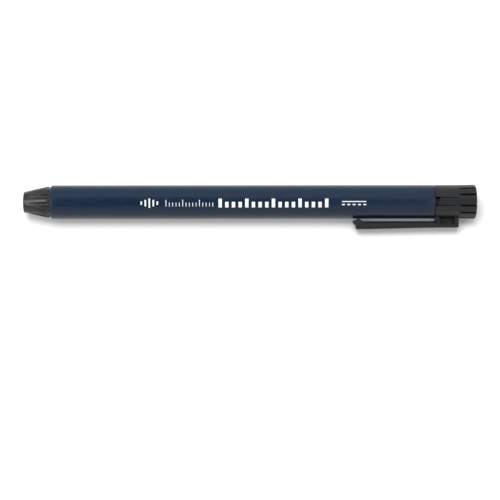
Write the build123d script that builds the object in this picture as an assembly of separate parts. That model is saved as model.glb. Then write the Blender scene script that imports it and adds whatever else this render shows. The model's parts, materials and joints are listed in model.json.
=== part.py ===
from build123d import *
import math
import os

# Twist-feed lead holder for thick marking leads, in millimetres.
# The pieces are drawn along X from the nose tip, clip towards -Y, and placed at the end:
# the finished holder lies on its barrel with the clip resting on the surface, +Z up.

# ---- driving dimensions ---------------------------------------------------
LEAD_R = 2.2                # 4.4 mm lead
LEAD_LENGTH = 95.0
LEAD_FRONT = 1.0            # lead drawn back just inside the nose
BARREL_R = 5.08
BARREL_BORE_R = 4.2
BARREL_FRONT = 8.2
BARREL_REAR = 123.55
BARREL_FRONT_ROUND = 0.45
SEAM_CHAMFER = 0.18
CAP_REAR = 130.8
HOLDER_LENGTH = 136.1
RUNNING = 0.05              # radial clearance of pieces that slide or turn on each other
SEAT = 0.02                 # radial clearance of pieces that sit still in each other
GAP = 0.05                  # end gap at a seam
FEED_PITCH = 12.0           # advance for one turn of the knob
FEED_TURNS = 6
CLIP_HALF_WIDTH = 2.15
CLIP_EDGE_R = 0.4

# ---- nose ------------------------------------------------------------------
NOSE_TIP_R = 3.12
NOSE_TIP_ROUND = 0.2
NOSE_MOUTH_R = 2.35
NOSE_CONE_REAR = 7.25
NOSE_CONE_R = 4.72
NOSE_COLLAR_R = 4.5
NOSE_COLLAR_LENGTH = 0.35
NOSE_SPIGOT_R = 3.6
NOSE_SPIGOT_REAR = 16.0
FLUTES = 12
FLUTE_R = 0.72
FLUTE_DEPTH = 0.78
FLUTE_START = 1.2
FLUTE_END = 6.95
FLUTE_PHASE = 10.0

# ---- chuck -----------------------------------------------------------------
CHUCK_FRONT = 1.4
CHUCK_TAPER_REAR = 7.5
CHUCK_REAR = 17.2
CHUCK_R = 3.1
CHUCK_FRONT_R = 2.62
CHUCK_SLOT = 0.4
CHUCK_SLOT_REAR = 11.0
CHUCK_FINGERS = 4
RING_FRONT = 16.05
RING_REAR = 16.95
RING_R = 3.55
RING_GROOVE_R = 2.9
RING_GAP = 1.0

# ---- feed ------------------------------------------------------------------
BUSHING_REAR = 18.0
GUIDE_REAR = 111.5
GUIDE_FLANGE = 1.5
GUIDE_R = 3.3
GUIDE_BORE_R = 2.75
GUIDE_SLOT_START = 21.5
SLEEVE_FRONT = 20.0
SLEEVE_REAR = 116.0
SLEEVE_R = 4.1
SLEEVE_BORE_R = 3.4
GROOVE_R = 3.85
GROOVE_ANGLE = 46.0
PIN_R = 0.6
PIN_REACH = 3.75
PIN_X = 98.5
PUSHER_R = 2.65
PUSHER_REAR = 101.5
CLAW_LENGTH = 4.0
CLAWS = 4
CLAW_SLOT = 0.5
GRIP_FLOOR = 0.6            # thickness behind the lead's end
GRIP_SPIGOT_R = 1.2
GRIP_SPIGOT_LENGTH = 0.37
LEAD_CHAMFER = 0.15

# ---- rear ------------------------------------------------------------------
PLUG_FRONT = 112.0
COLLAR_REAR = 117.5
STEM_R = 2.5
STEM_REAR = 134.2
STEM_FLAT = 1.9
STEM_FLAT_START = 1.0       # behind the cap's end
RETAINER_R = 3.5
RETAINER_THICK = 0.4
RETAINER_GAP = 3.4
RETAINER_GROOVE_R = 2.15
WASHER_THICK = 0.6
REAR_BUSHING_FRONT = 118.25
REAR_BUSHING_REAR = 130.7
HOOK_GROOVE = (123.9, 126.4)
HOOK_GROOVE_R = 3.5
DRAG_GROOVE = (127.0, 128.1)
DRAG_GROOVE_R = 3.5
DRAG_RING_R = 0.45
CAP_BORE_R = 4.15
TONGUE_HALF = 1.1           # the snap tongue between two slits
TONGUE_SLIT = 0.2
TONGUE_FRONT = 124.6
TONGUE_REAR = 130.1
HOOK_FRONT = 125.1
HOOK_REAR = 126.1
HOOK_R = 3.9
WINDOW_HALF = 1.4
WINDOW_SHORT = 0.8          # its rear edge slants
WINDOW_LONG = 1.6
KNOB_R = 5.12
KNOB_SLOT_WIDTH = 0.5
KNOB_SLOT_DEPTH = 0.95
KNOB_SLOT_START = 0.2
KNOB_SLOT_TAPER = 0.6
KNOB_END_CHAMFER = (0.36, 0.5)
KNOB_RECESS = 0.95          # room for the retaining ring
KNOB_RECESS_R = 3.6
KNOB_SLOT_FIRST = 19.3      # slots are spaced from a wide land, mirrored about it and repeated behind
KNOB_SLOT_STEP = 27.3
KNOB_PHASE = -5.0

# ---- clip ------------------------------------------------------------------
CLIP_FREE = 99.9            # end face of the arm
CLIP_ROOT = 123.6
CLIP_OUTER_ROOT = 7.8
CLIP_OUTER_FREE = 8.3
CLIP_INNER_ROOT = 5.85
CLIP_INNER_FREE = 5.85
FOOT_REACH = 5.18
BEAK_LENGTH = 0.9           # the foot's nose beyond the arm
STAND_FRONT = 0.2           # behind the barrel's end
POCKET = ((125.0, 129.6), (-6.7, -4.3))
POCKET_WEB = 0.45
POCKET_RIB = ((126.7, 127.0), (-6.6, -5.2))
POCKET_RIB_RISE = 0.2

feed_travel = FEED_PITCH * FEED_TURNS
retainer_front = REAR_BUSHING_REAR + 0.06
lead_rear = LEAD_FRONT + LEAD_LENGTH
knob_front = CAP_REAR + GAP
hinge_y = -(CLIP_OUTER_ROOT + CLIP_INNER_ROOT) / 2
hinge_r = (CLIP_OUTER_ROOT - CLIP_INNER_ROOT) / 2

# The holder rolls until the clip's rounded outer edge meets the surface the barrel lies on.
edge_y = CLIP_OUTER_FREE - CLIP_EDGE_R
edge_z = CLIP_HALF_WIDTH - CLIP_EDGE_R
edge_reach = math.hypot(edge_y, edge_z)
roll = math.degrees(math.asin((KNOB_R - CLIP_EDGE_R) / edge_reach) - math.atan2(edge_z, edge_y))


def turned(*points):
    """Solid of revolution about X from (x, radius) points."""
    outline = make_face(Polyline(*points, close=True))
    return revolve(outline, Axis.X, 360)


def tube(front, rear, outer, inner=0.0):
    """Round bar or tube along X."""
    ring = Circle(outer) - Circle(inner) if inner else Circle(outer)
    return extrude(Plane.YZ.offset(front) * ring, rear - front)


def block(x, y, z):
    """Box between two values on each axis."""
    size = (x[1] - x[0], y[1] - y[0], z[1] - z[0])
    middle = (sum(x) / 2, sum(y) / 2, sum(z) / 2)
    return Pos(*middle) * Box(*size)


def around(count, phase=0.0):
    """Rotations about the holder's axis, evenly spaced."""
    return [Rot(phase + 360 * k / count, 0, 0) for k in range(count)]


def outer_rims(body):
    """Circular edges at the barrel's outer radius, front to rear."""
    circles = body.edges().filter_by(GeomType.CIRCLE)
    return circles.filter_by(lambda e: e.radius > BARREL_R - 0.01).sort_by(Axis.X)


def nose_cone():
    body = turned(
        (0, NOSE_MOUTH_R), (0, NOSE_TIP_R - NOSE_TIP_ROUND), (NOSE_TIP_ROUND, NOSE_TIP_R),
        (NOSE_CONE_REAR, NOSE_CONE_R), (BARREL_FRONT - NOSE_COLLAR_LENGTH, NOSE_COLLAR_R),
        (BARREL_FRONT - GAP, NOSE_COLLAR_R),
        (BARREL_FRONT - GAP, NOSE_SPIGOT_R), (NOSE_SPIGOT_REAR, NOSE_SPIGOT_R),
        (NOSE_SPIGOT_REAR, CHUCK_R + RUNNING), (CHUCK_TAPER_REAR, CHUCK_R + RUNNING),
        (CHUCK_FRONT - GAP, CHUCK_FRONT_R + RUNNING), (CHUCK_FRONT - GAP, NOSE_MOUTH_R),
    )
    slope = (NOSE_CONE_R - NOSE_TIP_R) / NOSE_CONE_REAR
    start_r = NOSE_TIP_R + slope * FLUTE_START + FLUTE_R
    end_r = NOSE_TIP_R + slope * FLUTE_END + FLUTE_R - FLUTE_DEPTH
    lean = math.degrees(math.atan2(end_r - start_r, FLUTE_END - FLUTE_START))
    length = math.hypot(end_r - start_r, FLUTE_END - FLUTE_START)
    flute = tube(0, length, FLUTE_R) + Pos(length, 0, 0) * Sphere(FLUTE_R)
    flute = Pos(FLUTE_START, 0, start_r) * Rot(0, -lean, 0) * flute
    for turn in around(FLUTES, FLUTE_PHASE):
        body -= turn * flute
    return body


def lead_chuck():
    body = turned(
        (CHUCK_FRONT, LEAD_R + SEAT), (CHUCK_FRONT, CHUCK_FRONT_R), (CHUCK_TAPER_REAR, CHUCK_R),
        (RING_FRONT, CHUCK_R), (RING_FRONT, RING_GROOVE_R), (RING_REAR, RING_GROOVE_R),
        (RING_REAR, CHUCK_R), (CHUCK_REAR, CHUCK_R), (CHUCK_REAR, LEAD_R + SEAT),
    )
    slot = block((0, CHUCK_SLOT_REAR), (-CHUCK_SLOT / 2, CHUCK_SLOT / 2), (LEAD_R / 2, CHUCK_R + 1))
    for turn in around(CHUCK_FINGERS, 45):
        body -= turn * slot
    return body


def chuck_ring():
    ring = tube(RING_FRONT + SEAT, RING_REAR - SEAT, RING_R, RING_GROOVE_R + SEAT)
    return ring - block((RING_FRONT, RING_REAR), (-RING_GAP / 2, RING_GAP / 2), (0, RING_R + 1))


def front_bushing():
    return tube(BARREL_FRONT + 0.1, BUSHING_REAR, BARREL_BORE_R - SEAT, NOSE_SPIGOT_R + RUNNING)


def barrel():
    body = tube(BARREL_FRONT, BARREL_REAR, BARREL_R, BARREL_BORE_R)
    body = fillet(outer_rims(body)[0], BARREL_FRONT_ROUND)
    return chamfer(outer_rims(body)[-1], SEAM_CHAMFER)


def guide_tube():
    flange_rear = BUSHING_REAR + GUIDE_FLANGE
    body = tube(BUSHING_REAR + 0.02, flange_rear, BARREL_BORE_R - SEAT, GUIDE_BORE_R)
    body += tube(flange_rear, GUIDE_REAR, GUIDE_R, GUIDE_BORE_R)
    half = PIN_R + RUNNING
    return body - block((GUIDE_SLOT_START, PIN_X + 2 * PIN_R), (-half, half), (-4, 4))


def helical_groove(side):
    """Cutter for one of the sleeve's two inside grooves; its pin meets it at PIN_X."""
    front = PIN_X - feed_travel - 2 * PIN_R
    length = feed_travel + 4 * PIN_R
    reach = 2 * GROOVE_R
    half = math.radians(GROOVE_ANGLE / 2)
    wedge = Polygon((0, 0), (reach * math.cos(half), -reach * math.sin(half)),
                    (reach * math.cos(half), reach * math.sin(half)), align=None)
    sector = (Circle(GROOVE_R) - Circle(GUIDE_R)) & wedge
    lead_in = 360 * (PIN_X - front) / FEED_PITCH
    section = Rot(side + lead_in, 0, 0) * (Plane.YZ.offset(front) * Rot(0, 0, 90) * sector)
    twist = -360 * length / FEED_PITCH
    return Solid.extrude_linear_with_rotation(section.face(), (front, 0, 0), (length, 0, 0), twist)


def spiral_sleeve():
    body = tube(SLEEVE_FRONT, SLEEVE_REAR, SLEEVE_R, SLEEVE_BORE_R)
    for side in (0, 180):
        body -= helical_groove(side)
    return body


def lead_grip():
    """Clawed cup that holds the lead's rear end."""
    front = lead_rear - CLAW_LENGTH
    body = tube(front, lead_rear + GAP, PUSHER_R, LEAD_R + SEAT)
    body += tube(lead_rear + GAP, lead_rear + GRIP_FLOOR, PUSHER_R, GRIP_SPIGOT_R)
    width = (-CLAW_SLOT / 2, CLAW_SLOT / 2)
    slot = block((front, lead_rear - CLAW_SLOT), width, (LEAD_R / 2, PUSHER_R + 1))
    for turn in around(CLAWS, 45):
        body -= turn * slot
    return body


def lead_pusher():
    front = lead_rear + GRIP_FLOOR + SEAT
    body = tube(front, PUSHER_REAR, PUSHER_R)
    body += tube(front - GRIP_SPIGOT_LENGTH, front, GRIP_SPIGOT_R - SEAT)
    return body - Pos(PIN_X, 0, 0) * Cylinder(PIN_R + SEAT / 2, 2 * PUSHER_R + 1)


def drive_pin():
    return Pos(PIN_X, 0, 0) * Cylinder(PIN_R, 2 * PIN_REACH)


def lead():
    body = tube(LEAD_FRONT, lead_rear, LEAD_R)
    return chamfer(body.edges().filter_by(GeomType.CIRCLE), LEAD_CHAMFER)


def drive_plug():
    body = tube(PLUG_FRONT, SLEEVE_REAR + SEAT, SLEEVE_BORE_R - SEAT)
    body += tube(SLEEVE_REAR + SEAT, COLLAR_REAR, SLEEVE_R)
    body += tube(COLLAR_REAR, STEM_REAR, STEM_R)
    groove = (retainer_front - 0.03, retainer_front + RETAINER_THICK + 0.04)
    body -= tube(*groove, STEM_R + 1, RETAINER_GROOVE_R)
    for sign in (-1, 1):
        flat = (STEM_FLAT, STEM_R + 1) if sign > 0 else (-STEM_R - 1, -STEM_FLAT)
        body -= block((CAP_REAR + STEM_FLAT_START, STEM_REAR + 1), flat, (-STEM_R, STEM_R))
    return body


def thrust_washer():
    front = COLLAR_REAR + GAP
    return tube(front, front + WASHER_THICK, SLEEVE_R, STEM_R + RUNNING)


def rear_bushing():
    body = tube(REAR_BUSHING_FRONT, BARREL_REAR, BARREL_BORE_R - SEAT, STEM_R + RUNNING)
    body += tube(BARREL_REAR, REAR_BUSHING_REAR, CAP_BORE_R - SEAT, STEM_R + RUNNING)
    body -= tube(*HOOK_GROOVE, CAP_BORE_R + 1, HOOK_GROOVE_R)
    return body - tube(*DRAG_GROOVE, DRAG_GROOVE_R, STEM_R)


def drag_ring():
    middle = sum(DRAG_GROOVE) / 2
    section = Plane.XY * Pos(middle, STEM_R + 0.48) * Circle(DRAG_RING_R)
    return revolve(section, Axis.X, 360)


def retaining_ring():
    body = tube(retainer_front, retainer_front + RETAINER_THICK, RETAINER_R, RETAINER_GROOVE_R + SEAT)
    half = RETAINER_GAP / 2
    return body - block((REAR_BUSHING_REAR, CAP_REAR + 1), (-half, half), (0, RETAINER_R + 1))


def clip_cap():
    body = tube(BARREL_REAR + GAP, CAP_REAR, BARREL_R, CAP_BORE_R)
    body = chamfer(outer_rims(body)[0], SEAM_CHAMFER)
    width = (-CLIP_HALF_WIDTH, CLIP_HALF_WIDTH)
    stand = block((BARREL_REAR + STAND_FRONT, CAP_REAR), (-CLIP_OUTER_ROOT, 0), width)
    outer = stand.edges().filter_by(lambda e: e.center().Y < -BARREL_R)
    edges = outer.filter_by(Axis.X) + [outer.filter_by(Axis.Z).sort_by(Axis.X)[-1]]
    stand = fillet(edges, CLIP_EDGE_R)
    stand -= tube(BARREL_REAR, CAP_REAR + 1, BARREL_R - 0.3)
    for sign in (-1, 1):
        deep = (POCKET_WEB, CLIP_HALF_WIDTH + 1) if sign > 0 else (-CLIP_HALF_WIDTH - 1, -POCKET_WEB)
        pocket = block(*POCKET, deep)
        stand -= fillet(pocket.edges().filter_by(Axis.Z), 0.25)
        rib = (POCKET_WEB - POCKET_RIB_RISE, 1) if sign > 0 else (-1, POCKET_RIB_RISE - POCKET_WEB)
        stand -= block(*POCKET_RIB, rib)
    body += stand
    body -= Pos(CLIP_ROOT, hinge_y, 0) * Cylinder(hinge_r + GAP, 2 * CLIP_HALF_WIDTH + 1)
    window_plan = Polygon(
        (BARREL_REAR, -WINDOW_HALF), (BARREL_REAR + WINDOW_SHORT, -WINDOW_HALF),
        (BARREL_REAR + WINDOW_LONG, WINDOW_HALF), (BARREL_REAR, WINDOW_HALF), align=None,
    )
    window = extrude(Plane.XY.offset(BARREL_R / 2) * window_plan, BARREL_R)
    slits = [
        block((TONGUE_FRONT, TONGUE_REAR), (middle - TONGUE_SLIT / 2, middle + TONGUE_SLIT / 2), (2, 6))
        for middle in (-TONGUE_HALF - TONGUE_SLIT / 2, TONGUE_HALF + TONGUE_SLIT / 2)
    ]
    hook = block((HOOK_FRONT, HOOK_REAR), (-TONGUE_HALF + 0.1, TONGUE_HALF - 0.1), (HOOK_R, BARREL_R - 0.4))
    for turn in around(2):
        for cutter in (window, *slits):
            body -= turn * cutter
        body += turn * hook
    return body


def pocket_clip():
    with BuildSketch(Plane.XY) as side_view:
        with BuildLine():
            Polyline(
                (CLIP_ROOT, -CLIP_INNER_ROOT), (CLIP_FREE + 2.2, -CLIP_INNER_FREE),
                (CLIP_FREE + 1.5, -FOOT_REACH - 0.1), (CLIP_FREE + 1.2, -FOOT_REACH),
                (CLIP_FREE + 0.3, -FOOT_REACH), (CLIP_FREE - BEAK_LENGTH, -5.85),
                (CLIP_FREE - BEAK_LENGTH, -6.35), (CLIP_FREE, -7.1),
                (CLIP_FREE, -CLIP_OUTER_FREE), (CLIP_ROOT, -CLIP_OUTER_ROOT), close=True,
            )
        make_face()
        tight = [v for v in side_view.vertices() if v.X < CLIP_FREE - 0.5]
        fillet(tight, 0.22)
        foot = [v for v in side_view.vertices() if v.Y > -FOOT_REACH - 0.2]
        fillet(foot, 0.12)
        outer = [v for v in side_view.vertices() if v.X < CLIP_FREE + 0.1 and v.Y < -8]
        fillet(outer, CLIP_EDGE_R + 0.05)
    arm = extrude(side_view.sketch, CLIP_HALF_WIDTH, both=True)
    long_edges = [
        e for e in arm.edges().filter_by(GeomType.LINE)
        if e.length > 15 and e.center().Y < -7.5
    ]
    arm = fillet(long_edges, CLIP_EDGE_R)
    arm += Pos(CLIP_ROOT, hinge_y, 0) * Cylinder(hinge_r, 2 * CLIP_HALF_WIDTH)
    return arm


def feed_knob():
    back, drop = KNOB_END_CHAMFER
    body = turned(
        (knob_front, KNOB_RECESS_R), (knob_front, BARREL_R - 0.06), (knob_front + 0.06, BARREL_R),
        (HOLDER_LENGTH - back, KNOB_R), (HOLDER_LENGTH, KNOB_R - drop), (HOLDER_LENGTH, 0),
        (STEM_REAR + 0.1, 0), (STEM_REAR + 0.1, STEM_R + SEAT),
        (CAP_REAR + KNOB_RECESS, STEM_R + SEAT), (CAP_REAR + KNOB_RECESS, KNOB_RECESS_R),
    )
    for sign in (-1, 1):
        flat = (STEM_FLAT + SEAT, STEM_R + 0.1) if sign > 0 else (-STEM_R - 0.1, -STEM_FLAT - SEAT)
        body += block((CAP_REAR + STEM_FLAT_START + 0.1, STEM_REAR + 0.5), flat, (-1.5, 1.5))
    half = KNOB_SLOT_WIDTH / 2
    full = knob_front + KNOB_SLOT_START + KNOB_SLOT_TAPER
    plan = Polygon((knob_front + KNOB_SLOT_START, 0), (full, -half), (HOLDER_LENGTH + 1, -half),
                   (HOLDER_LENGTH + 1, half), (full, half), align=None)
    slot = extrude(Plane.XY.offset(KNOB_R - KNOB_SLOT_DEPTH) * plan, 2)
    for land in (0, 180):
        for side in (-1, 1):
            for k in range(3):
                body -= Rot(KNOB_PHASE + land + side * (KNOB_SLOT_FIRST + k * KNOB_SLOT_STEP), 0, 0) * slot
    return body


PIECES = (
    nose_cone, lead_chuck, chuck_ring, front_bushing, barrel, guide_tube, spiral_sleeve,
    lead_pusher, drive_pin, lead_grip, lead, drive_plug, thrust_washer, rear_bushing,
    drag_ring, retaining_ring, clip_cap, pocket_clip, feed_knob,
)


def placed(pieces):
    """Roll the holder onto its clip and put the origin under the middle of its box."""
    rolled = {name: Rot(roll, 0, 0) * piece for name, piece in pieces.items()}
    boxes = [piece.bounding_box() for piece in rolled.values()]
    low = [min(tuple(box.min)[i] for box in boxes) for i in range(3)]
    high = [max(tuple(box.max)[i] for box in boxes) for i in range(3)]
    shift = Pos(-(low[0] + high[0]) / 2, -(low[1] + high[1]) / 2, -low[2])
    return {name: shift * piece for name, piece in rolled.items()}, shift


def main():
    os.makedirs("parts", exist_ok=True)
    pieces, shift = placed({make.__name__: make() for make in PIECES})
    for name, piece in pieces.items():
        export_step(piece, f"parts/{name}.step")
    print("roll", round(roll, 3), "shift", shift.position)
    return pieces


if __name__ == "__main__":
    main()
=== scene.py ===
import json
import math

import bmesh
import bpy
from mathutils import Matrix, Vector


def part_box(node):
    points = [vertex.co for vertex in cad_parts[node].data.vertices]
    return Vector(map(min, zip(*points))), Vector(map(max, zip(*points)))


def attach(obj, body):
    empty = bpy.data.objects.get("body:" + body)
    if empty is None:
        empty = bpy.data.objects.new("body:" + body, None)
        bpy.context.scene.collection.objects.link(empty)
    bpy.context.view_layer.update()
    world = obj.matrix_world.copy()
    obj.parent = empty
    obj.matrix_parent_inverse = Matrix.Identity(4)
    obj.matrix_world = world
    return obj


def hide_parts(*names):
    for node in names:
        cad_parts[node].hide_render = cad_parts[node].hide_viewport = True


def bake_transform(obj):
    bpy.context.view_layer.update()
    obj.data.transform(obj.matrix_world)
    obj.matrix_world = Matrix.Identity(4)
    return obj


# Looks of a twist-feed lead holder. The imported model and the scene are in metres; outlines are in mm,
# measured along the holder from the nose tip and out from its axis, and multiplied by MM.
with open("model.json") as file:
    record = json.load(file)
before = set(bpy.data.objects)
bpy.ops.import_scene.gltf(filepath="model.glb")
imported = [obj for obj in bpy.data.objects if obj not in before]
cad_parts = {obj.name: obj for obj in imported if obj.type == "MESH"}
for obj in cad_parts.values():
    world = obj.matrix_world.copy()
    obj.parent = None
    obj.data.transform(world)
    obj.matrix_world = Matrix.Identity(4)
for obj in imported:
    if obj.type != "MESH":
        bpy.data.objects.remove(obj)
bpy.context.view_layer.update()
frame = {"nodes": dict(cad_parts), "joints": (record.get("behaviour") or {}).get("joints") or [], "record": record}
nodes = frame["nodes"]
MM = 0.001
WELD = 1e-7                          # points nearer than this are one point

# ---- places, read from the frame ---------------------------------------------
tip_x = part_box("nose_cone")[0].x
barrel_low, barrel_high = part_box("barrel")
axis_y = (barrel_low.y + barrel_high.y) / 2
axis_z = (barrel_low.z + barrel_high.z) / 2
BARREL_R = (barrel_high.y - barrel_low.y) / 2
BARREL_FRONT = barrel_low.x - tip_x
BARREL_REAR = barrel_high.x - tip_x
clip_joint = next(j for j in frame["joints"] if j["name"] == "clip_flex")
ROLL = math.atan2(-clip_joint["axis"][1], clip_joint["axis"][2])

# The holder's own axes: X from the nose tip, clip towards -Y, camera side +Z.
TO_FRAME = Matrix.Translation((tip_x, axis_y, axis_z)) @ Matrix.Rotation(ROLL, 4, "X")
hinge = TO_FRAME.inverted() @ Vector(clip_joint["pos_m"])


def add_object(name, data):
    """New object for a mesh, a light or a camera, linked into the scene."""
    thing = bpy.data.objects.new(name, data)
    bpy.context.scene.collection.objects.link(thing)
    return thing


def mesh_piece(name, points, faces, material):
    """New object from points given on the holder's own axes."""
    mesh = bpy.data.meshes.new(name)
    mesh.from_pydata([TO_FRAME @ Vector(p) for p in points], [], faces)
    mesh.validate()
    mesh.materials.append(material)
    return add_object(name, mesh)


def tidy_mesh(piece, crease):
    """Welds points that meet, turns the faces outward and keeps corners past crease degrees crisp."""
    work = bmesh.new()
    work.from_mesh(piece.data)
    bmesh.ops.remove_doubles(work, verts=work.verts, dist=WELD)
    bmesh.ops.recalc_face_normals(work, faces=work.faces)
    work.to_mesh(piece.data)
    work.free()
    piece.data.shade_smooth()
    piece.data.set_sharp_from_angle(angle=math.radians(crease))


def skin(rows, columns, closed):
    """Faces between neighbouring rings of points; closed joins the last ring to the first."""
    faces = []
    for i in range(rows if closed else rows - 1):
        j = (i + 1) % rows
        for k in range(columns):
            m = (k + 1) % columns
            faces.append((i * columns + k, i * columns + m, j * columns + m, j * columns + k))
    return faces


# ---- materials ---------------------------------------------------------------
NOISE_LOW, NOISE_HIGH = 0.3, 0.7     # most values of a noise texture lie between these


def new_material(name, color, roughness, **sockets):
    """Material with its own shader values; a socket's name has underscores for its spaces."""
    material = bpy.data.materials.new(name)
    material.use_nodes = True
    shader = material.node_tree.nodes["Principled BSDF"]
    shader.inputs["Base Color"].default_value = (*color, 1)
    shader.inputs["Roughness"].default_value = roughness
    for socket, value in sockets.items():
        shader.inputs[socket.replace("_", " ")].default_value = value
    return material


def noise(material, scale, detail=3.0, stretch=(1, 1, 1)):
    """Noise on object coordinates; scale is in features per metre."""
    tree = material.node_tree
    place = tree.nodes.new("ShaderNodeTexCoord")
    mapping = tree.nodes.new("ShaderNodeMapping")
    mapping.inputs["Scale"].default_value = stretch
    texture = tree.nodes.new("ShaderNodeTexNoise")
    texture.inputs["Scale"].default_value = scale
    texture.inputs["Detail"].default_value = detail
    tree.links.new(place.outputs["Object"], mapping.inputs["Vector"])
    tree.links.new(mapping.outputs["Vector"], texture.inputs["Vector"])
    return texture.outputs["Fac"]


def map_range(tree, from_low, from_high, to_low, to_high):
    """Node that maps the first range to the second."""
    node = tree.nodes.new("ShaderNodeMapRange")
    node.inputs["From Min"].default_value = from_low
    node.inputs["From Max"].default_value = from_high
    node.inputs["To Min"].default_value = to_low
    node.inputs["To Max"].default_value = to_high
    return node


def vary_roughness(material, source, low, high):
    """Roughness that follows a noise between low and high."""
    tree = material.node_tree
    spread = map_range(tree, NOISE_LOW, NOISE_HIGH, low, high)
    tree.links.new(source, spread.inputs["Value"])
    tree.links.new(spread.outputs["Result"], tree.nodes["Principled BSDF"].inputs["Roughness"])


def vary_color(material, source, dark, light, start=NOISE_LOW, stop=NOISE_HIGH):
    """Base colour that follows a noise between dark and light."""
    tree = material.node_tree
    ramp = tree.nodes.new("ShaderNodeValToRGB")
    ramp.color_ramp.elements[0].position = start
    ramp.color_ramp.elements[0].color = (*dark, 1)
    ramp.color_ramp.elements[1].position = stop
    ramp.color_ramp.elements[1].color = (*light, 1)
    tree.links.new(source, ramp.inputs["Fac"])
    tree.links.new(ramp.outputs["Color"], tree.nodes["Principled BSDF"].inputs["Base Color"])


def add_bump(material, source, height):
    """Bump of the given height in metres."""
    tree = material.node_tree
    bump = tree.nodes.new("ShaderNodeBump")
    bump.inputs["Strength"].default_value = 1.0
    bump.inputs["Distance"].default_value = height
    tree.links.new(source, bump.inputs["Height"])
    tree.links.new(bump.outputs["Normal"], tree.nodes["Principled BSDF"].inputs["Normal"])


def add_specks(material):
    """A few tiny pale specks of dust, in the middles of scattered cells."""
    cells_per_metre, kept_above, speck_color = 220, 0.9, (0.06, 0.07, 0.085, 1)
    tree = material.node_tree
    place = tree.nodes.new("ShaderNodeTexCoord")
    cells = tree.nodes.new("ShaderNodeTexVoronoi")
    cells.inputs["Scale"].default_value = cells_per_metre
    near = map_range(tree, 0.02, 0.05, 1, 0)
    chosen = tree.nodes.new("ShaderNodeMath")
    chosen.operation = "GREATER_THAN"
    chosen.inputs[1].default_value = kept_above
    both = tree.nodes.new("ShaderNodeMath")
    both.operation = "MULTIPLY"
    mix = tree.nodes.new("ShaderNodeMix")
    mix.data_type = "RGBA"
    shader = tree.nodes["Principled BSDF"]
    plain = shader.inputs["Base Color"].links[0].from_socket
    tree.links.new(place.outputs["Object"], cells.inputs["Vector"])
    tree.links.new(cells.outputs["Distance"], near.inputs["Value"])
    tree.links.new(cells.outputs["Color"], chosen.inputs[0])
    tree.links.new(near.outputs["Result"], both.inputs[0])
    tree.links.new(chosen.outputs["Value"], both.inputs[1])
    tree.links.new(both.outputs["Value"], mix.inputs["Factor"])
    tree.links.new(plain, mix.inputs["A"])
    mix.inputs["B"].default_value = speck_color
    tree.links.new(mix.outputs["Result"], shader.inputs["Base Color"])


def navy_barrel():
    m = new_material("navy_satin", (0.0027, 0.0088, 0.0214), 0.2, Specular_IOR_Level=0.27)
    vary_color(m, noise(m, 900, 4, (0.4, 1, 1)), (0.0023, 0.0081, 0.0200), (0.0033, 0.0097, 0.0232))
    add_specks(m)
    vary_roughness(m, noise(m, 2500, 5, (0.15, 1, 1)), 0.17, 0.25)
    add_bump(m, noise(m, 1400, 2), 0.000004)
    return m


def black_plastic(name="black_moulded", polish=0.0, reflect=0.27):
    m = new_material(name, (0.006, 0.0063, 0.0069), 0.32 - polish, Specular_IOR_Level=reflect)
    vary_color(m, noise(m, 1200, 4), (0.0056, 0.0059, 0.0064), (0.0082, 0.0086, 0.0094))
    vary_roughness(m, noise(m, 4000, 4), 0.27 - polish, 0.37 - polish)
    add_bump(m, noise(m, 9000, 3), 0.000006)
    return m


def graphite():
    m = new_material("graphite_lead", (0.02, 0.021, 0.023), 0.4)
    vary_color(m, noise(m, 3000, 5, (0.1, 1, 1)), (0.014, 0.015, 0.016), (0.032, 0.033, 0.036))
    vary_roughness(m, noise(m, 6000, 3, (0.08, 1, 1)), 0.3, 0.55)
    add_bump(m, noise(m, 7000, 4, (0.1, 1, 1)), 0.00001)
    return m


def brass():
    m = new_material("turned_brass", (0.72, 0.52, 0.24), 0.25, Metallic=1.0)
    vary_roughness(m, noise(m, 12000, 2, (1, 0.05, 0.05)), 0.18, 0.34)
    add_bump(m, noise(m, 15000, 2, (1, 0.05, 0.05)), 0.000003)
    return m


def steel():
    m = new_material("ground_steel", (0.6, 0.6, 0.61), 0.25, Metallic=1.0)
    vary_roughness(m, noise(m, 9000, 3), 0.2, 0.35)
    return m


def acetal():
    m = new_material("white_acetal", (0.76, 0.75, 0.71), 0.38)
    vary_color(m, noise(m, 700, 3), (0.72, 0.71, 0.67), (0.79, 0.78, 0.75))
    add_bump(m, noise(m, 5000, 3), 0.000005)
    return m


def rubber():
    m = new_material("black_rubber", (0.015, 0.015, 0.015), 0.7)
    add_bump(m, noise(m, 8000, 3), 0.00001)
    return m


def white_ink():
    m = new_material("white_ink", (0.4, 0.41, 0.42), 0.45)
    vary_color(m, noise(m, 5000, 4), (0.34, 0.35, 0.36), (0.46, 0.47, 0.48), 0.25, 0.5)
    return m


finish_of = {
    "navy_barrel": navy_barrel(), "black_plastic": black_plastic(), "marking_lead": graphite(),
    "brass": brass(), "steel": steel(), "white_acetal": acetal(), "rubber": rubber(),
}
INK = white_ink()

for row in frame["record"]["subparts"]:
    node = nodes[row["node"]]
    node.data.materials.clear()
    node.data.materials.append(finish_of[row["material_slot"]])


# ---- turned shells -------------------------------------------------------------
NO_CUT = 99.0                        # mm, a radius outside every surface
SHELL_CREASE = 40                    # degrees


def no_grooves(x, angle):
    """Radius limit of a shell without grooves."""
    return NO_CUT


def turned_shell(name, body, node, profile, angles, radius_limit, material):
    """Closed shell from (x, radius) points in mm; radius_limit(x, angle) cuts its grooves."""
    points = []
    for x, r in profile:
        for a in angles:
            cut = min(r, radius_limit(x, a))
            points.append((x * MM, -cut * MM * math.sin(a), cut * MM * math.cos(a)))
    piece = mesh_piece(name, points, skin(len(profile), len(angles), True), material)
    tidy_mesh(piece, SHELL_CREASE)
    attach(piece, body)
    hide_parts(node)


def even_angles(count):
    return [2 * math.pi * k / count for k in range(count)]


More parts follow.
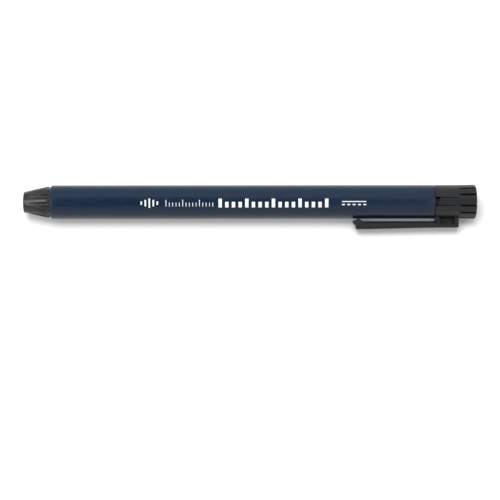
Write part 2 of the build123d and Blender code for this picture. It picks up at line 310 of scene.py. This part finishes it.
def turn_between(a, b):
    """Smallest turn between two directions, without its sign."""
    return abs((a - b + math.pi) % (2 * math.pi) - math.pi)


def clamp(value):
    return max(0.0, min(1.0, value))


def arc(cx, cr, radius, start, stop, steps=5):
    """Points of an arc in the (x, radius) plane, angles in degrees from +X."""
    turns = [math.radians(start + (stop - start) * k / steps) for k in range(steps + 1)]
    return [(cx + radius * math.cos(t), cr + radius * math.sin(t)) for t in turns]


def run(x0, r0, x1, r1, steps):
    """Points strictly between two profile points."""
    return [(x0 + (x1 - x0) * k / steps, r0 + (r1 - r0) * k / steps) for k in range(1, steps)]


def soft_min(a, b, width):
    """Smaller of two radii, with the corner between them rounded."""
    h = clamp(0.5 + (b - a) / (2 * width))
    return b + (a - b) * h - width * h * (1 - h)


# Places along the holder from the nose tip, and radii, in mm.
NOSE = {
    "tip": 3.12, "mouth": 2.35, "mouth_end": 1.35, "cone_rear": 7.25, "cone": 4.72, "collar": 4.5,
    "shoulder": BARREL_FRONT / MM - 0.05, "spigot": 3.57, "root": 3.36, "spigot_rear": 16.0,
    "bore": 3.15, "chuck_rear": 7.5, "chuck": 2.67,
}
NOSE_ROWS, THREAD_ROWS, NOSE_COLUMNS = 46, 90, 288
THREAD_RELIEF = 0.5                  # plain stretch and fade at each end of the thread
CONE_START = 0.2                     # no flute is cut before this
CONE_MARGIN = 0.3                    # flutes are followed this far past the cone, along it and out of it
FLUTES = 12
FLUTE_PHASE = 10.0                   # degrees
FLUTE_R = 0.72
FLUTE_START = 1.2
FLUTE_END = 6.95
FLUTE_DEPTH = 0.78                   # at its rear end; the flute runs out at its start
FLUTE_EDGE = 0.05                    # width over which its edge is rounded


def flute_limit(x, angle):
    """Radius left by the nearest flute: a leaning round bar with a ball end."""
    slope = (NOSE["cone"] - NOSE["tip"]) / NOSE["cone_rear"]
    surface = NOSE["tip"] + slope * x
    if not CONE_START < x < NOSE["cone_rear"] + CONE_MARGIN:
        return NO_CUT
    length = FLUTE_END - FLUTE_START
    share = clamp((x - FLUTE_START) / length)
    centre = NOSE["tip"] + slope * (FLUTE_START + share * length) + FLUTE_R - FLUTE_DEPTH * share
    beyond = max(0.0, x - FLUTE_END)
    if beyond >= FLUTE_R:
        return NO_CUT
    bar = math.sqrt(FLUTE_R * FLUTE_R - beyond * beyond)
    pitch = 2 * math.pi / FLUTES
    off = (angle - math.radians(FLUTE_PHASE) + pitch / 2) % pitch - pitch / 2
    side = centre * math.sin(off)
    if abs(side) >= bar:
        return NO_CUT
    cut = centre * math.cos(off) - math.sqrt(bar * bar - side * side)
    return soft_min(surface, cut, FLUTE_EDGE) if cut < surface + CONE_MARGIN else NO_CUT


def nose_shell():
    """Fluted nose with its mouth, collar and threaded spigot."""
    n = NOSE
    first, last = n["shoulder"] + THREAD_RELIEF, n["spigot_rear"] - THREAD_RELIEF
    profile = [(0.06, n["mouth"])] + arc(0.06, n["mouth"] + 0.06, 0.06, -90, -180, 2)
    profile += arc(0.22, n["tip"] - 0.2, 0.22, 180, 104, 5)
    profile += run(0.3, n["tip"] + 0.06, n["cone_rear"] - 0.12, n["cone"] - 0.03, NOSE_ROWS)
    profile += arc(n["cone_rear"] - 0.1, n["cone"] - 0.12, 0.12, 100, 35, 4)
    profile += [(n["shoulder"] - 0.25, n["collar"]), (n["shoulder"], n["collar"] - 0.04)]
    profile += [(n["shoulder"], n["root"]), (first, n["root"])]
    profile += [(x, n["spigot"]) for x, _ in run(first, n["root"], last, n["root"], THREAD_ROWS)]
    profile += [(last, n["root"]), (n["spigot_rear"], n["root"])]
    profile += [(n["spigot_rear"], n["bore"]), (n["chuck_rear"], n["bore"])]
    profile += [(n["mouth_end"], n["chuck"]), (n["mouth_end"], n["mouth"])]

    def limit(x, angle):
        """Radius left by the flutes on the cone and by the 1 mm thread on the spigot."""
        if not first < x < last:
            return flute_limit(x, angle)
        wave = (x - angle / (2 * math.pi)) % 1.0
        ridge = clamp(1.6 - 3.2 * abs(wave - 0.5))
        fade = min(1.0, (x - first) / THREAD_RELIEF, (last - x) / THREAD_RELIEF)
        return n["root"] + (n["spigot"] - n["root"]) * ridge * fade

    glossy = black_plastic("black_moulded_nose", 0.1, 0.4)
    angles = even_angles(NOSE_COLUMNS)
    turned_shell("nose_shell", "nose", "nose_cone", profile, angles, limit, glossy)


KNOB_PITCH = 27.3                    # degrees between slots on each half
KNOB_FIRST = 19.3                    # from the middle of a half's wide land to its first slot
KNOB_PHASE = -5.0
KNOB_SLOTS = [
    land + side * (KNOB_FIRST + KNOB_PITCH * k) + KNOB_PHASE
    for land in (0, 180) for side in (-1, 1) for k in range(3)
]
SLOT_HALF = 0.28
SLOT_FLOOR_R = 3.8
SLOT_EDGE = 0.05                     # half the width of a slot's sloping side
SLOT_START = 0.2                     # behind the knob's front face
SLOT_TAPER = 0.6                     # length over which a slot opens to its full width
SLOT_NARROWEST = 0.02
SLOT_R = 5.0                         # radius at which widths across a slot are measured
SLOT_POINTS = (0, 0.12, 0.2, 0.23, 0.26, 0.29, 0.32, 0.36, 0.5)
LAND_COLUMNS = 72
SLOT_CLEAR = 0.11                    # radians round a slot that have no land points


def knob_angles(centres):
    """Directions of the knob's points: close together over each slot, even between slots."""
    angles = set()
    for c in centres:
        for off in SLOT_POINTS:
            for side in (-1, 1):
                angles.add(round((c + side * off / SLOT_R) % (2 * math.pi), 6))
    for a in even_angles(LAND_COLUMNS):
        if all(turn_between(a, c) > SLOT_CLEAR for c in centres):
            angles.add(round(a, 6))
    return sorted(angles)


def knob_shell():
    """Slotted feed knob with its dished end and the socket for the plug's stem."""
    low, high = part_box("feed_knob")
    front, rear = (low.x - tip_x) / MM, (high.x - tip_x) / MM
    wide = (high.y - low.y) / 2 / MM
    socket_end = (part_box("drive_plug")[1].x - tip_x) / MM + 0.1
    socket_r, lip_r, lip_end = 2.52, 3.6, front + 0.9
    centres = [math.radians(a) for a in KNOB_SLOTS]

    def limit(x, angle):
        """Radius left by the nearest slot."""
        nearest = min(turn_between(angle, c) for c in centres)
        width = SLOT_HALF * clamp((x - front - SLOT_START) / SLOT_TAPER) ** 0.7
        away = nearest * SLOT_R
        if away > width + SLOT_EDGE or width <= SLOT_NARROWEST:
            return NO_CUT
        share = clamp((width + SLOT_EDGE - away) / (2 * SLOT_EDGE))
        return wide + (SLOT_FLOOR_R - wide) * share * share * (3 - 2 * share)

    profile = [(front, lip_r), (front, wide - 0.13)] + arc(front + 0.07, wide - 0.12, 0.07, 180, 90, 3)
    profile += run(front + 0.1, wide - 0.05, rear - 0.5, wide, 24)
    profile += arc(rear - 0.46, wide - 0.11, 0.11, 85, 50, 3) + arc(rear - 0.12, wide - 0.5, 0.12, 50, 0, 3)
    profile += [(rear, 4.3), (rear, 4.0), (rear, 3.4)]
    profile += [(rear - 0.12, 3.2), (rear - 0.16, 2.0), (rear - 0.16, 0.0)]
    profile += [(socket_end, 0.0), (socket_end, socket_r), (lip_end, socket_r), (lip_end, lip_r)]
    angles, black = knob_angles(centres), finish_of["black_plastic"]
    turned_shell("knob_shell", "drive", "feed_knob", profile, angles, limit, black)


def barrel_shell():
    """Plain tube with a broad rounding at its front and a small one at its rear."""
    front, rear, outer, inner = BARREL_FRONT / MM, BARREL_REAR / MM, BARREL_R / MM, 4.2
    front_round, rear_round, rows, columns = 0.45, 0.2, 40, 160
    profile = [(front, inner), (front, outer - front_round)]
    profile += arc(front + front_round, outer - front_round, front_round, 180, 90, 7)
    profile += run(front + front_round, outer, rear - rear_round, outer, rows)
    profile += arc(rear - rear_round, outer - rear_round, rear_round, 90, 0, 4) + [(rear, inner)]
    angles, navy = even_angles(columns), finish_of["navy_barrel"]
    turned_shell("barrel_shell", "body", "barrel", profile, angles, no_grooves, navy)


# ---- clip arm ------------------------------------------------------------------
ARM_HALF_WIDTH = 2.149
ARM_CREASE = 50                      # degrees
ARM_INNER = -5.86                    # the side towards the barrel, measured from the holder's axis
ARM_OUTER_ROOT, ARM_OUTER_FREE = -7.8, -8.29
ARM_BEVEL, ARM_ROUNDING, FOOT_BEVEL = 0.75, 0.42, 0.3
FOOT_LENGTH = 2.2                    # of the foot before the arm's end face
BEAK_LENGTH = 0.9                    # of the beak beyond it
ROOT_MARGIN = 0.04                   # by which the root's round is larger than half the arm
ROOT_TURNS = (6, 20, 35, 50, 65, 80, 90)
ARM_ROWS = 16
FOOT = (                             # before the end face, inner line, outer line
    (FOOT_LENGTH, ARM_INNER, -8.25), (1.85, -5.8, -8.26), (1.6, -5.5, -8.27), (1.35, -5.24, -8.28),
    (1.0, -5.18, -8.29), (0.5, -5.19, -8.29), (0.25, -5.28, -8.24), (0.08, -5.36, -8.1),
    (0.0, -5.4, -7.7), (-0.04, -5.42, -7.2), (-0.3, -5.52, -6.95), (-0.6, -5.66, -6.6),
    (-0.8, -5.8, -6.32), (-0.88, -5.92, -6.16),
)


def arm_section(x, inner, outer, bevel, steps=5):
    """Closed outline across the arm at x, in mm: bevels towards the barrel, roundings outside."""
    limit = 0.48 * (inner - outer)
    a, b, half = min(bevel, limit), min(ARM_ROUNDING, limit), ARM_HALF_WIDTH
    points = [(inner - a, half), (inner, half - a), (inner, a - half), (inner - a, -half)]
    for z, start in ((b - half, 180), (half - b, 90)):
        for k in range(steps + 1):
            turn = math.radians(start + 90 - 90 * k / steps)
            points.append((outer + b + b * math.cos(turn), z + b * math.sin(turn)))
    return [(x * MM, y * MM, z * MM) for y, z in points]


def clip_arm():
    """The springy arm with its foot, bending out of the cap's stand instead of turning in it."""
    root_x, root_y = hinge.x / MM, hinge.y / MM
    free = (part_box("pocket_clip")[0].x - tip_x) / MM + BEAK_LENGTH
    root_r = (ARM_INNER - ARM_OUTER_ROOT) / 2 + ROOT_MARGIN
    sections = []
    for turn in ROOT_TURNS:
        reach, half = root_r * math.cos(math.radians(turn)), root_r * math.sin(math.radians(turn))
        sections.append(arm_section(root_x + reach, root_y + half, root_y - half, ARM_BEVEL))
    for k in range(1, ARM_ROWS):
        share = k / ARM_ROWS
        x = root_x + (free + FOOT_LENGTH - root_x) * share
        outer = ARM_OUTER_ROOT + (ARM_OUTER_FREE - ARM_OUTER_ROOT) * share
        sections.append(arm_section(x, ARM_INNER, outer, ARM_BEVEL))
    for before_end, inner, outer in FOOT:
        sections.append(arm_section(free + before_end, inner, outer, FOOT_BEVEL))
    points = [point for section in sections for point in section]
    count = len(sections[0])
    faces = skin(len(sections), count, False)
    faces += [tuple(range(count)), tuple(range(len(points) - count, len(points)))]
    piece = mesh_piece("clip_arm", points, faces, finish_of["black_plastic"])
    tidy_mesh(piece, ARM_CREASE)
    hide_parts("pocket_clip")
    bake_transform(piece)


# ---- printed marks ---------------------------------------------------------------
INK_LIFT = 0.012                     # mm the ink stands out of the barrel
INK_STEP = 0.05                      # radians a facet of ink may span
PRINT_MIDDLE = -0.45                 # mm up from the centre line


def ink_patch(work, x0, x1, up0, up1):
    """One patch of ink on the barrel, in mm along the holder and up from its centre line."""
    radius = BARREL_R / MM
    a0, a1 = math.asin(up0 / radius), math.asin(up1 / radius)
    steps = max(1, round((a1 - a0) / INK_STEP))
    rings = []
    for lift in (-INK_LIFT, INK_LIFT):
        for x in (x0, x1):
            row = []
            for k in range(steps + 1):
                a = a0 + (a1 - a0) * k / steps
                r = radius + lift
                place = Vector((x * MM, r * math.sin(a) * MM, r * math.cos(a) * MM))
                row.append(work.verts.new(TO_FRAME @ place))
            rings.append(row)
    low_a, low_b, high_a, high_b = rings
    for k in range(steps):
        work.faces.new((high_a[k], high_b[k], high_b[k + 1], high_a[k + 1]))
        work.faces.new((low_a[k], low_a[k + 1], low_b[k + 1], low_b[k]))
        work.faces.new((low_a[k], high_a[k], high_a[k + 1], low_a[k + 1]))
        work.faces.new((low_b[k], low_b[k + 1], high_b[k + 1], high_b[k]))
    work.faces.new((low_a[0], low_b[0], high_b[0], high_a[0]))
    work.faces.new((low_a[-1], high_a[-1], high_b[-1], low_b[-1]))


def ink_piece(name, patches):
    """One printed piece made of patches (x from, x to, up from, up to) in mm."""
    work = bmesh.new()
    for patch in patches:
        ink_patch(work, *patch)
    bmesh.ops.recalc_face_normals(work, faces=work.faces)
    mesh = bpy.data.meshes.new(name)
    work.to_mesh(mesh)
    work.free()
    mesh.materials.append(INK)
    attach(add_object(name, mesh), "body")


def graded_bars(first=35.4, pitch=1.2, width=0.45):
    """Upright bars that rise to the middle one and fall again."""
    heights = (0.5, 0.95, 1.4, 0.95, 0.5)
    return [
        (first + pitch * k, first + width + pitch * k, PRINT_MIDDLE - h, PRINT_MIDDLE + h)
        for k, h in enumerate(heights)
    ]


def scale(count, first, pitch, width, below, short, tall, every):
    """Ticks that stand on one line, every so many of them tall."""
    patches = []
    for k in range(count):
        x = first + pitch * k
        above = tall if k % every == 0 else short
        patches.append((x, x + width, PRINT_MIDDLE - below, PRINT_MIDDLE + above))
    return patches


def dashes(first=95.6, pitch=1.6, width=0.85, length=7.25):
    """A row of dashes under a line."""
    patches = [
        (first + pitch * k, first + width + pitch * k, PRINT_MIDDLE - 0.65, PRINT_MIDDLE - 0.3)
        for k in range(5)
    ]
    return patches + [(first, first + length, PRINT_MIDDLE + 0.3, PRINT_MIDDLE + 0.55)]


def printed_marks():
    """Plain scales and bars printed where such a holder carries its print."""
    ink_piece("print_graded_bars", graded_bars())
    ink_piece("print_fine_scale", scale(15, 42.9, 1.0, 0.2, 1.0, 0.15, 0.95, 5))
    ink_piece("print_bold_scale", scale(17, 58.7, 1.99, 1.0, 1.3, 0.35, 1.3, 4))
    ink_piece("print_dashes", dashes())


nose_shell()
knob_shell()
barrel_shell()
clip_arm()
printed_marks()


# ---- stage ---------------------------------------------------------------------
ALONG = Vector((1, 0, 0))                                        # from the nose to the knob
UP = (TO_FRAME.to_3x3() @ Vector((0, 1, 0))).normalized()        # away from the clip
VIEW = (TO_FRAME.to_3x3() @ Vector((0, 0, 1))).normalized()      # from the holder to the camera
TENT = 1.0                           # brightness of the surroundings
OPENING_DARK = 0.04                  # and of the opening in them
OPENING_ALONG = 0.20                 # half-sizes of the dark opening, as sines of its angles
OPENING_ACROSS = 0.59
OPENING_SHIFT = -0.085               # along the holder
OPENING_EDGE = (0.8, 1.15)           # where it starts and stops getting brighter
FLOOR_HALF = 3.0
FLOOR_COLOR = (0.42, 0.42, 0.42)
FLOOR_GLOW = 0.16
KEY_WATTS = 17.5
KEY_SIZE = 0.68
STRIP_WATTS = 4.2
STRIP_SIZE = (0.16, 0.75)
STRIP_TILT = math.radians(29)        # from the camera's direction towards the nose
LENS = 130
SENSOR = 36
CAMERA_DISTANCE = 0.5445
CAMERA_LEAN = 0.001                  # radians
AIM = (0.0681, -0.01448)             # the view's centre: from the nose tip, and up from the axis


def floor():
    """Pale sheet on a light table: it glows a little, so shadows on it stay light."""
    size = FLOOR_HALF
    mesh = bpy.data.meshes.new("floor")
    corners = [(-size, -size, 0), (size, -size, 0), (size, size, 0), (-size, size, 0)]
    mesh.from_pydata(corners, [], [(0, 1, 2, 3)])
    mesh.materials.append(new_material(
        "pale_floor", FLOOR_COLOR, 0.9, Specular_IOR_Level=0.0,
        Emission_Color=(1, 1, 1, 1), Emission_Strength=FLOOR_GLOW))
    add_object("floor", mesh)


def light_tent():
    """Even white surroundings with a dark oval opening where a camera looks in."""
    world = bpy.data.worlds.new("tent")
    world.use_nodes = True
    tree = world.node_tree
    place = tree.nodes.new("ShaderNodeTexCoord")
    onto_holder = tree.nodes.new("ShaderNodeMapping")
    onto_holder.vector_type = "TEXTURE"
    onto_holder.inputs["Location"].default_value = (OPENING_SHIFT, 0, 0)
    onto_holder.inputs["Rotation"].default_value = (ROLL, 0, 0)
    onto_holder.inputs["Scale"].default_value = (OPENING_ALONG, OPENING_ACROSS, 100)
    away = tree.nodes.new("ShaderNodeVectorMath")
    away.operation = "LENGTH"
    opening = map_range(tree, *OPENING_EDGE, OPENING_DARK, TENT)
    opening.interpolation_type = "SMOOTHSTEP"
    tree.links.new(place.outputs["Generated"], onto_holder.inputs["Vector"])
    tree.links.new(onto_holder.outputs["Vector"], away.inputs[0])
    tree.links.new(away.outputs["Value"], opening.inputs["Value"])
    tree.links.new(opening.outputs["Result"], tree.nodes["Background"].inputs["Strength"])
    tree.nodes["Background"].inputs["Color"].default_value = (1, 1, 1, 1)
    bpy.context.scene.world = world


def key_light():
    """Soft light from the holder's far side; it shows as the shadow on the floor."""
    light = bpy.data.lights.new("key", "AREA")
    light.shape = "DISK"
    light.size = KEY_SIZE
    light.energy = KEY_WATTS
    lamp = add_object("key", light)
    lamp.location = (VIEW * 0.80 + UP * 0.50 - ALONG * 0.12).normalized()
    lamp.rotation_euler = lamp.location.to_track_quat("Z", "Y").to_euler()
    lamp.visible_glossy = False


def strip_light():
    """Narrow bright panel beyond the nose: streaks on the fluted cone and the barrel's front rim."""
    light = bpy.data.lights.new("strip", "AREA")
    light.shape = "RECTANGLE"
    light.size, light.size_y = STRIP_SIZE
    light.energy = STRIP_WATTS
    lamp = add_object("strip", light)
    where = (VIEW * math.cos(STRIP_TILT) - ALONG * math.sin(STRIP_TILT)).normalized()
    lamp.location = where
    lamp.rotation_euler = Matrix((UP.cross(where).normalized(), UP, where)).transposed().to_euler()


def camera():
    """Camera that looks square at the side of the clip."""
    data = bpy.data.cameras.new("camera")
    data.lens = LENS
    data.sensor_width = SENSOR
    cam = add_object("camera", data)
    cam.location = TO_FRAME @ Vector((*AIM, 0)) + VIEW * CAMERA_DISTANCE
    level = Matrix((ALONG, UP, VIEW)).transposed()
    cam.rotation_euler = (level @ Matrix.Rotation(-CAMERA_LEAN, 3, "Z")).to_euler()
    bpy.context.scene.camera = cam


floor()
light_tent()
key_light()
strip_light()
camera()
bpy.context.scene.view_settings.view_transform = "Standard"
